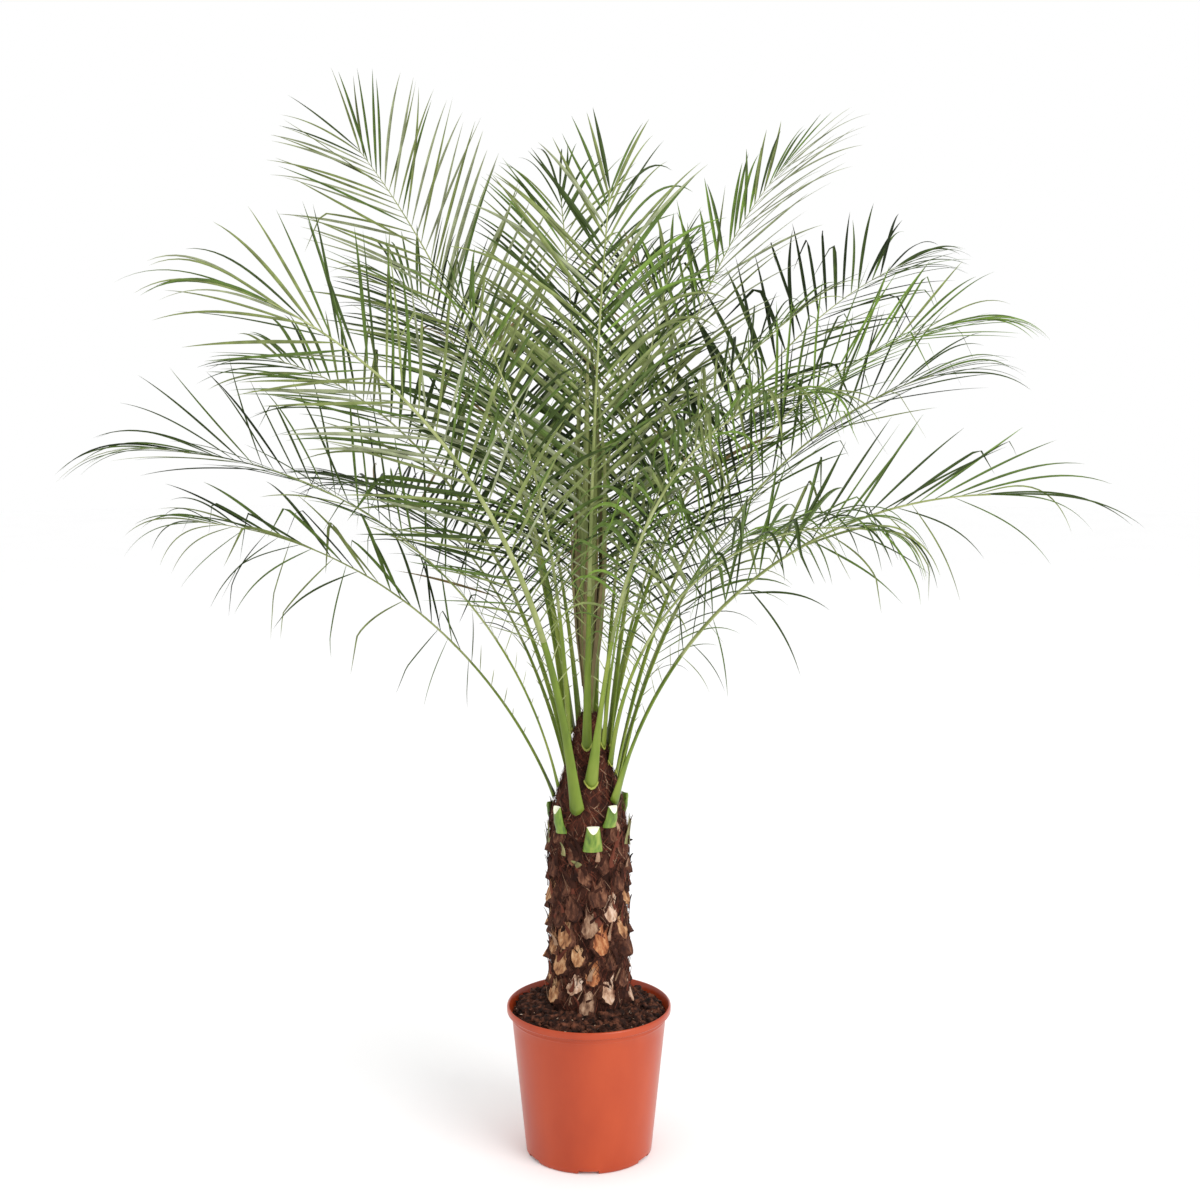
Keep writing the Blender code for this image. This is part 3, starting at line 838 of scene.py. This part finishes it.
def add_leaf_bases(rng, strips):
    """The spiral of old leaf bases, with strips torn from their edges."""
    bodies = Sheaf()
    faces = {name: Sheaf() for name in FACE_LOOKS}
    for index in range(int((LAST_BASE_HEIGHT - FIRST_BASE_HEIGHT) / BASE_RISE)):
        turn = FIRST_BASE_TURN + SPIRAL_TURN * index + rng.normal(0, BASE_TURN_SPREAD)
        height = FIRST_BASE_HEIGHT + BASE_RISE * index + rng.normal(0, BASE_HEIGHT_SPREAD)
        bare = height < LAST_CUT_HEIGHT
        drawn = pick(rng, FACE_SHARES)
        kind = FRONT_FACES.get(index, drawn) if bare else "brown"
        width = rng.uniform(*BASE_WIDTHS) * (1 if bare else UPPER_WIDTH)
        tall = rng.uniform(*BASE_HEIGHTS)
        reach = rng.uniform(*BASE_REACHES) * (1 if bare else UPPER_REACH)
        add_leaf_base(bodies, faces[kind], turn, height, rng, width, tall, reach)
        for _ in range(LOW_STRIPS if bare else HIGH_STRIPS):
            edge = rng.choice((-1, 1))
            name = pick(rng, LOW_STRIP_SHARES if bare else HIGH_STRIP_SHARES)
            add_strip(strips[name], turn + edge * rng.uniform(*STRIP_ASIDE),
                      height - rng.uniform(*STRIP_DROP),
                      rng.normal(-edge * STRIP_HEADING, STRIP_HEADING_SPREAD), rng.uniform(*STRIP_LENGTHS),
                      rng.uniform(*STRIP_WIDTHS), rng.uniform(*STRIP_LIFTS), rng)
    bodies.piece("leaf_bases", make_material(BASE_LOOK), "trunk_bark")
    for name, sheaf in faces.items():
        material = make_material(FACE_LOOKS[name])
        sheaf.piece("cut_faces_" + name, material, "trunk_bark", smooth=False, closed=False)


def add_trunk():
    """Core, old leaf bases, torn strips and fibres."""
    rng = np.random.default_rng(12)
    add_trunk_core()
    strips = {name: Sheaf() for name in FIBRE_LOOKS}
    add_leaf_bases(rng, strips)
    for _ in range(FIBRES):
        height = rng.uniform(*FIBRE_HEIGHTS)
        top = height > FIBRES_REDDEN
        name = pick(rng, HIGH_FIBRE_SHARES if top else LOW_FIBRE_SHARES)
        heading = rng.choice((-1, 1)) * rng.normal(*(HIGH_FIBRE_HEADING if top else LOW_FIBRE_HEADING))
        add_strip(strips[name], rng.uniform(0, 360), height, heading, rng.uniform(*FIBRE_LENGTHS),
                  rng.uniform(*FIBRE_WIDTHS), rng.normal(*FIBRE_LIFT), rng)
    for name, sheaf in strips.items():
        sheaf.piece("trunk_fibres_" + name, make_material(FIBRE_LOOKS[name]), "trunk_bark", closed=False)


# Freshly cut green stubs near the crown: turn, height of the foot, height of the cut, width
STUBS = (
    (-84, 0.55, 0.59, 0.033), (-134, 0.577, 0.619, 0.023), (-57, 0.588, 0.622, 0.026),
    (152, 0.572, 0.606, 0.024), (112, 0.588, 0.624, 0.024), (66, 0.56, 0.6, 0.028),
    (34, 0.584, 0.62, 0.024),
)

# Older stubs, dry and frayed: turn, height of the foot, heading from straight up, length, width
OLD_STUBS = (
    (-14, 0.56, 4, 0.04, 0.013), (-24, 0.548, 12, 0.042, 0.012), (-166, 0.548, -6, 0.044, 0.013),
    (-174, 0.53, -14, 0.036, 0.012), (-128, 0.536, 12, 0.024, 0.01),
    (-103, 0.52, -35, 0.016, 0.013), (95, 0.54, 8, 0.04, 0.013), (10, 0.535, 5, 0.04, 0.012),
    (130, 0.545, -12, 0.038, 0.012),
)

# Shape of the green stubs, from foot to cut
STUB_SIDES = 20
STUB_LEVELS = (-0.1, 0.0, 0.35, 0.7, 1.0)
STUB_TAPER = 0.36
STUB_DEPTH = 0.0085
STUB_THINNING = 0.25
STUB_BACK = 0.4
STUB_CUT = 0.012
OLD_STUB_LIFT = 0.007


def add_stubs():
    """Cut stalks: keeled green wedges, broad at the foot, with a pale slanting top."""
    rng = np.random.default_rng(5)
    bodies, tops, olds = (Sheaf() for _ in range(3))
    turns = np.linspace(0, math.tau, STUB_SIDES, endpoint=False)
    keel = np.clip(-np.sin(turns), 0, 1)
    for turn, low, high, width in STUBS:
        out, side = surface_frame(turn)
        rings = []
        for share in STUB_LEVELS:
            x = np.cos(turns) * (width / 2 * (1.0 - STUB_TAPER * max(share, 0)))
            thick = STUB_DEPTH * (1.0 - STUB_THINNING * share)
            back = np.clip(np.sin(turns), 0, 1) * thick * STUB_BACK
            foot = trunk_radius(low) + 0.001 + 0.006 * max(share, 0) - 0.004 * (share < 0.1)
            depth = foot + keel**1.3 * thick - back
            cut = keel**2.5 * STUB_CUT * (share == 1.0)
            height = low + (high - low) * share - cut
            rings.append(out * depth[:, None] + side * x[:, None] + UP * height[:, None])
        bodies.lattice(rings, closed=True)
        rim = rings[-1]
        middle = rim.mean(0)
        inner = rim + (middle - rim) * 0.4 + UP * rng.uniform(0, 0.0004)
        numbers = tops.lattice([rim, inner], closed=True)
        tops.fan(numbers[-1], middle)
    for turn, low, heading, length, width in OLD_STUBS:
        add_strip(olds, turn, low, heading, length, width, OLD_STUB_LIFT, rng)
    olds.piece("old_stubs", make_material(OLD_STUB_LOOK), "frond_stalk", closed=False)
    bodies.piece("stub_bodies", make_material(STUB_LOOK), "frond_stalk", closed=False)
    tops.piece("stub_tops", make_material(STUB_TOP_LOOK), "frond_stalk", closed=False)


# Fronds

STALK_LOOK = Look("stalk_green", ((82, 102, 26), (106, 126, 36), (128, 140, 56)), scale=30,
                  stretch=(1, 1, 0.25), roughness=(0.4, 0.55), bump=0.1, specular=0.35)
RIB_LOOK = Look("rib_green", ((113, 125, 65), (140, 149, 89), (160, 167, 115)), scale=30,
                stretch=(1, 1, 0.5), roughness=(0.4, 0.55), bump=0.1)
RING_LOOK = Look("stalk_foot", ((132, 146, 48), (168, 172, 74)), scale=80, roughness=(0.45, 0.6))


def midrib(frond):
    """Points along the middle line, from its seat on the trunk to its tip."""
    shares = (np.arange(MIDRIB_STEPS) + 0.5) / MIDRIB_STEPS
    rise = np.radians(frond.rise + (frond.tip_rise - frond.rise) * shares**frond.curl)
    lean = np.radians(frond.facing + frond.sweep * shares**2)
    runs = np.stack((np.cos(rise) * np.cos(lean), np.cos(rise) * np.sin(lean), np.sin(rise)), axis=1)
    seat = round_point(frond.seat_turn, trunk_radius(frond.seat_height), frond.seat_height)
    return np.vstack((seat, seat + np.cumsum(runs * frond.length / MIDRIB_STEPS, axis=0)))


def at_share(line, share):
    """The point a share of the way along a line of evenly spaced points."""
    place = min(max(share, 0), 1) * (len(line) - 1)
    index = min(int(place), len(line) - 2)
    return line[index] + (line[index + 1] - line[index]) * (place - index)


def blade_frame(line, share, roll):
    """Heading, sideways and upper directions of the blade at a share of the midrib."""
    ahead = unit(at_share(line, min(share + 0.01, 1)) - at_share(line, max(share - 0.01, 0)))
    side = unit(np.cross(ahead, UP))
    return ahead, *turned(side, np.cross(side, ahead), math.radians(roll))


# Stalk and rib: run from the seat in metres, then half width and half depth in millimetres
RIB_SIZES = (
    (0, 14.5, 6.0), (0.03, 12.5, 6.0), (0.07, 10.8, 5.4), (0.12, 9.0, 4.8), (0.18, 7.4, 4.3),
    (0.28, 5.8, 3.7), (0.6, 3.5, 2.7), (1.05, 1.0, 0.9),
)
RIB_SIDES = 12
RIB_FLATNESS = 0.55
STALK_RINGS = 30
RIB_RINGS = 44

# Over these shares of its length, a stalk's foot clasps the trunk and ends in a blunt lip
CLASP_SHARE = 0.12
LIP_SHARE = 0.03
LIP_DROP = 0.01
LIP_LIFT = 0.004


def rib_rings(frond, line, start, end, count):
    """Rings of the stalk or rib: half round below, flatter above, thinner towards the tip."""
    turns = np.linspace(0, math.tau, RIB_SIDES, endpoint=False)
    runs, widths, depths = zip(*RIB_SIZES)
    rings = []
    foot_side = -surface_frame(frond.seat_turn)[1]
    for share in np.linspace(start, end, count):
        ahead, side, upper = blade_frame(line, share, rib_roll(frond, share))
        clasp = max(0, 1 - share / CLASP_SHARE)
        side = unit(side * (1 - clasp) + foot_side * clasp)
        side = unit(side - ahead * (side @ ahead))
        upper = np.cross(side, ahead)
        wide = np.interp(share * frond.length, runs, widths) * frond.girth / 1000
        thick = np.interp(share * frond.length, runs, depths) * frond.girth / 1000
        x = np.cos(turns) * wide
        y = np.sin(turns) * thick
        y = np.where(y > 0, y * RIB_FLATNESS, y)
        foot = max(0, 1 - share / LIP_SHARE)
        blunt = foot * (LIP_DROP * (1 - (x / wide) ** 2) - LIP_LIFT)
        rings.append(at_share(line, share) + side * x[:, None] + upper * y[:, None] - UP * blunt[:, None])
    return rings


def rib_roll(frond, share):
    """The stalk's own foot faces the trunk, and it turns with the blade further out."""
    grown = min(max(share / LEAF_START, 0), 1)
    gone = min(max((share - LEAF_START) / (frond.end - LEAF_START), 0), 1)
    return grown * (frond.roll + (frond.roll_tip - frond.roll) * gone)


# Leaflets, by a share of their own length or of the rib: outline, angle to the rib, width and length
LEAF_SHAPE = ((0, 0.2), (0.05, 0.42), (0.2, 0.82), (0.42, 1), (0.65, 0.84), (0.85, 0.44), (0.95, 0.18),
              (1, 0.02))
LEAF_ANGLES = ((0, 64), (0.2, 58), (0.5, 50), (0.8, 42), (0.93, 34), (1, 14))
LEAF_WIDTHS = ((0, 0.35), (0.12, 0.6), (0.28, 1))
LEAF_LENGTHS = ((0, 0.45), (0.08, 0.7), (0.25, 0.93), (0.45, 1), (0.75, 0.94))
LEAF_HALF_WIDTHS = (0.0034, 0.0053)
LEAF_FOLD = 30

# How leaflets differ
ANGLE_SPREAD = 4
KINK_SPREAD = 9
LIFT_SPREAD = 7
TWIST_SPREAD = 28
BEND_SPREAD = 0.08
LENGTH_RANGE = (0.92, 1.06)
DROOP_RANGE = (0.2, 1.9)
SPACING_RANGE = (0.85, 1.15)

# Leaflets stand closer towards the tip, and the two rows alternate
SPACING_FOOT = 1.15
SPACING_LOSS = 0.45
SECOND_ROW = 0.4

# Where a kinked leaflet folds down. One at the tip never does
KINK_RANGE = (0.45, 0.8)
KINK_RUN = 0.08
KINK_AHEAD = 0.45
KINK_ASIDE = 4
KINKS_UNTIL = 0.8
NO_KINK = 2

# Leaflets draw together near the tip, and a hanging row has gaps and is shorter and looser
BUNCHED_FROM = 0.83
BUNCHED_RUN = 0.11
BUNCHED_CLOSING = 0.8
BUNCHED_DROOP = 0.9
GONE_SHARE = 0.38
HANG_LOSS = 0.0035
HANG_JITTER = 0.25


def leaflet(sheaf, foot, heading, normal, length, half_width, droop, kink_at, twist, bend):
    """One leaflet, folded to a shallow V along its middle and drawn out to a hair-fine tip."""
    point = np.array(foot)
    lefts = []
    rights = []
    fold = math.radians(LEAF_FOLD)
    side_way = unit(np.cross(heading, normal))
    kinked = unit(KINK_AHEAD * heading + side_way * bend * KINK_ASIDE - UP)
    for step in range(LEAF_STEPS + 1):
        share = step / LEAF_STEPS
        ahead = unit(heading + side_way * bend * share**1.5 - UP * droop * share**2.2)
        if share > kink_at:
            ahead = unit(ahead + (kinked - ahead) * min(1, (share - kink_at) / KINK_RUN))
        normal = unit(normal - ahead * (normal @ ahead))
        across = np.cross(ahead, normal)
        wide, face = turned(across, normal, math.radians(twist * share))
        half = half_width * value_at(LEAF_SHAPE, share)
        rise = face * half * math.sin(fold)
        reach = wide * half * math.cos(fold)
        lefts.append((point, point - reach + rise))
        rights.append((point, point + reach + rise))
        point = point + ahead * length / LEAF_STEPS
    sheaf.lattice(lefts)
    sheaf.lattice(rights)


def add_leaflets(frond, line, sheaves, rng):
    """Both rows of leaflets along the rib."""
    run = (frond.end - LEAF_START) * frond.length
    for hand in (-1, 1):
        mix = TONE_MIXES[frond.fore_tone if frond.fore_tone and hand > 0 else frond.tone]
        gone = 0.0 if hand > 0 else SECOND_ROW * LEAF_SPACING
        while gone < run:
            v = gone / run
            share = LEAF_START + (frond.end - LEAF_START) * v
            spacing = LEAF_SPACING * frond.spacing * (SPACING_FOOT - SPACING_LOSS * v**3)
            gone += spacing * rng.uniform(*SPACING_RANGE)
            roll = frond.roll + (frond.roll_tip - frond.roll) * v
            ahead, side, upper = blade_frame(line, share, roll)
            angle = value_at(LEAF_ANGLES, v) + frond.splay + hand * frond.skew
            near_tip = frond.bunch * float(np.clip((v - BUNCHED_FROM) / BUNCHED_RUN, 0, 1))
            angle *= 1 - BUNCHED_CLOSING * near_tip
            hang = max(0, hand * frond.sag)
            spread = ANGLE_SPREAD + KINK_SPREAD * frond.kinks + HANG_JITTER * hang
            angle = math.radians(angle + rng.normal(0, spread))
            if hang and rng.random() < GONE_SHARE:
                continue
            lift = math.radians(frond.lift - hang + rng.normal(0, LIFT_SPREAD))
            outward, normal = turned(hand * side, upper, lift)
            heading = math.cos(angle) * ahead + math.sin(angle) * outward
            length = frond.leaf * value_at((*LEAF_LENGTHS, (1, frond.tip_leaf)), v)
            length *= rng.uniform(*LENGTH_RANGE)
            length *= 1 - hang * HANG_LOSS
            half_width = rng.uniform(*LEAF_HALF_WIDTHS) * frond.broad * (1 - hand * frond.thin)
            half_width *= value_at((*LEAF_WIDTHS, (1, 1 - frond.narrow)), v)
            droop = frond.droop * rng.uniform(*DROOP_RANGE) * (1 - hand * frond.slack)
            droop += BUNCHED_DROOP * near_tip
            kinked = rng.random() < frond.kinks and v < KINKS_UNTIL
            kink_at = rng.uniform(*KINK_RANGE) if kinked else NO_KINK
            twist = rng.normal(0, TWIST_SPREAD)
            bend = rng.normal(0, BEND_SPREAD)
            sheaf = sheaves[pick(rng, mix)]
            foot = at_share(line, share)
            leaflet(sheaf, foot, heading, normal, length, half_width, droop, kink_at, twist, bend)


# Spines run along the stalk, longer towards the blade
SPINES_FROM = 0.11
SPINE_ANGLES = (35, 60)
SPINE_GAPS = (0.02, 0.035)
SPINE_LENGTH = 0.012
SPINE_GROWTH = 0.06
SPINE_HALF_WIDTH = 0.0011
SPINE_DROOP = 0.1


def add_spines(frond, line, sheaf, rng):
    """Slender spines on both sides of the stalk."""
    for hand in (-1, 1):
        share = SPINES_FROM
        while share < LEAF_START:
            grown = (share - SPINES_FROM) / (LEAF_START - SPINES_FROM)
            ahead, side, upper = blade_frame(line, share, rib_roll(frond, share))
            angle = math.radians(rng.uniform(*SPINE_ANGLES))
            heading = math.cos(angle) * ahead + math.sin(angle) * unit(hand * side + 0.6 * upper)
            length = (SPINE_LENGTH + SPINE_GROWTH * grown**1.5) * rng.uniform(0.7, 1.2)
            foot = at_share(line, share)
            leaflet(sheaf, foot, heading, upper, length, SPINE_HALF_WIDTH, SPINE_DROOP, NO_KINK, 0, 0)
            share += rng.uniform(*SPINE_GAPS)


# Upper stalks keep a pale collar: scale of the foot's outline and drop below it
COLLARED_FROM = 0.65
COLLAR = ((1.01, -0.003), (1.07, -0.0015), (1.08, 0.0006), (1.03, 0.0016))


def add_fronds():
    """Stalks, ribs, spines and leaflets of every frond."""
    rng = np.random.default_rng(77)
    stalks, collars, ribs, spines = (Sheaf() for _ in range(4))
    sheaves = {name: Sheaf() for name in LEAF_COLOURS}
    for frond in FRONDS:
        line = midrib(frond)
        rings = rib_rings(frond, line, 0, LEAF_START, STALK_RINGS)
        stalks.tube(rings)
        if frond.seat_height > COLLARED_FROM:
            foot = rings[0]
            middle = foot.mean(0)
            collars.tube([middle + (foot - middle) * scale - UP * drop for scale, drop in COLLAR])
        ribs.tube(rib_rings(frond, line, LEAF_START, frond.end, RIB_RINGS))
        add_spines(frond, line, spines, rng)
        add_leaflets(frond, line, sheaves, rng)
    stalk_nodes = [node for node in sorted(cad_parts) if node.endswith(("_stalk", "_base"))]
    rib_nodes = [node for node in sorted(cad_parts) if node.endswith(("_blade", "_tip"))]
    stalks.piece("frond_stalks", make_material(STALK_LOOK), "frond_stalk", stalk_nodes)
    collars.piece("stalk_collars", make_material(RING_LOOK), "frond_stalk")
    ribs.piece("frond_ribs", make_material(RIB_LOOK), "frond_leaf", rib_nodes)
    spines.piece("frond_spines", make_material(RIB_LOOK._replace(name="spine_green")), "frond_stalk",
                 closed=False)
    for name, sheaf in sheaves.items():
        colour = np.array(LEAF_COLOURS[name])
        look = Look("leaf_" + name, [colour * shade for shade in LEAF_SHADES], scale=45,
                    roughness=(0.45, 0.6), bump=0.12, bump_scale=900, bump_depth=0.0003, specular=0.2)
        if sheaf.count:
            sheaf.piece("leaflets_" + name, make_material(look), "frond_leaf", closed=False)


# Spear

SPEAR_LOOKS = {
    "brown": Look("spear_brown", ((82, 68, 42), (114, 99, 62), (144, 131, 88)), scale=60,
                  stretch=(1, 1, 0.2), roughness=(0.6, 0.8), bump=0.3),
    "olive": Look("spear_olive", ((87, 99, 45), (113, 123, 61), (140, 143, 84)), scale=60,
                  stretch=(1, 1, 0.2), roughness=(0.45, 0.6), bump=0.2),
}

# Every fourth leaflet is olive, and so is every fifth. The fifth ones are those that reach the top
SPEAR_LEAVES = 44
SPEAR_STEPS = 26
SPEAR_TURN = 20
SPEAR_HALF_WIDTH = 0.005
SPEAR_FOLD = 0.8
LOW_TOPS = (0.98, 1.13)
HIGH_TOPS = (1.2, 1.41)


def add_spear():
    """The unopened leaves: long folded leaflets in a narrow bundle."""
    rng = np.random.default_rng(9)
    foot = BUNDLE_PROFILE[0][0]
    sheaves = {name: Sheaf() for name in SPEAR_LOOKS}
    for index in range(SPEAR_LEAVES):
        start = 360 * index / SPEAR_LEAVES + rng.normal(0, 4)
        name = "olive" if index % 4 == 0 or index % 5 == 0 else "brown"
        low = foot + rng.uniform(0, 0.1) * (index % 2)
        high = rng.uniform(*LOW_TOPS) if index % 5 else rng.uniform(*HIGH_TOPS)
        lefts = []
        rights = []
        share_out = rng.uniform(0.35, 1.0) ** 0.6
        for height in np.linspace(low, high, SPEAR_STEPS):
            share = (height - low) / (high - low)
            turn = start + SPEAR_TURN * share
            radius = value_at(BUNDLE_PROFILE, height) * share_out
            out, side = surface_frame(turn)
            half = SPEAR_HALF_WIDTH * math.sin(math.pi * min(share * 0.92 + 0.06, 1)) ** 0.6
            fold = round_point(turn, radius, height) * (1, BUNDLE_DEPTH, 1)
            lefts.append((fold, fold - side * half - out * half * SPEAR_FOLD))
            rights.append((fold, fold + side * half - out * half * SPEAR_FOLD))
        sheaves[name].lattice(lefts)
        sheaves[name].lattice(rights)
    for name, sheaf in sheaves.items():
        nodes = ["spear"] if name == "brown" else []
        sheaf.piece("spear_" + name, make_material(SPEAR_LOOKS[name]), "spear_leaf", nodes, closed=False)


add_camera()
add_lights()
add_floor()
add_pot()
add_soil()
add_trunk()
add_stubs()
add_fronds()
add_spear()
